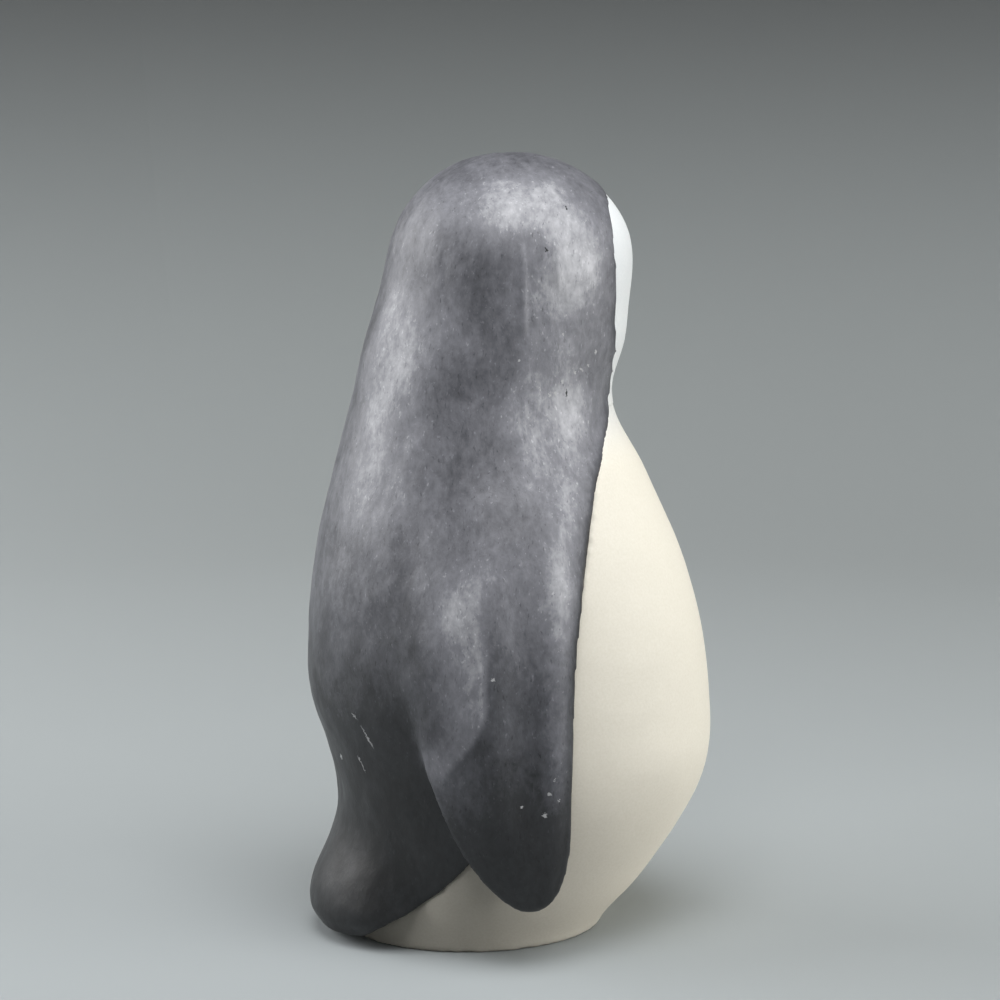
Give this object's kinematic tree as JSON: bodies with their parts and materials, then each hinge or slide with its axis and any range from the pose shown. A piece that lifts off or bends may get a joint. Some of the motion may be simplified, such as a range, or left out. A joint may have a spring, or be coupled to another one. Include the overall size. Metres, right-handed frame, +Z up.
{
  "type": "penguin figurine",
  "caption": "Upright penguin ornament: hollow pale casting with a dark brushed coat over head and back, side flippers, a rounded tail and a white face turned aside.",
  "frame": {"origin": "middle of the flat foot that the figure stands on", "axes": "+Z up, the figure's front towards -Y, its right side towards -X"},
  "size_m": [0.0862, 0.0847, 0.1606],
  "materials": {
    "casting": "cream eggshell paint on a slip-cast body",
    "coat": "thick satin black paint, brushed by hand",
    "face": "smooth white paint",
    "beak": "satin horn-black paint",
    "eyes": "glossy black bead",
    "pegs": "plain turned dowel",
    "plug": "unpainted bisque",
    "felt": "pressed felt"
  },
  "bodies": {
    "root": {"body_shell": "casting", "back_mantle": "coat", "face_mask": "face", "left_flipper": "coat", "right_flipper": "coat", "flipper_pegs": "pegs", "tail": "coat", "tail_pegs": "pegs", "beak": "beak", "left_eye": "eyes", "right_eye": "eyes", "base_plug": "plug", "base_felt": "felt"}
  },
  "joints": []
}
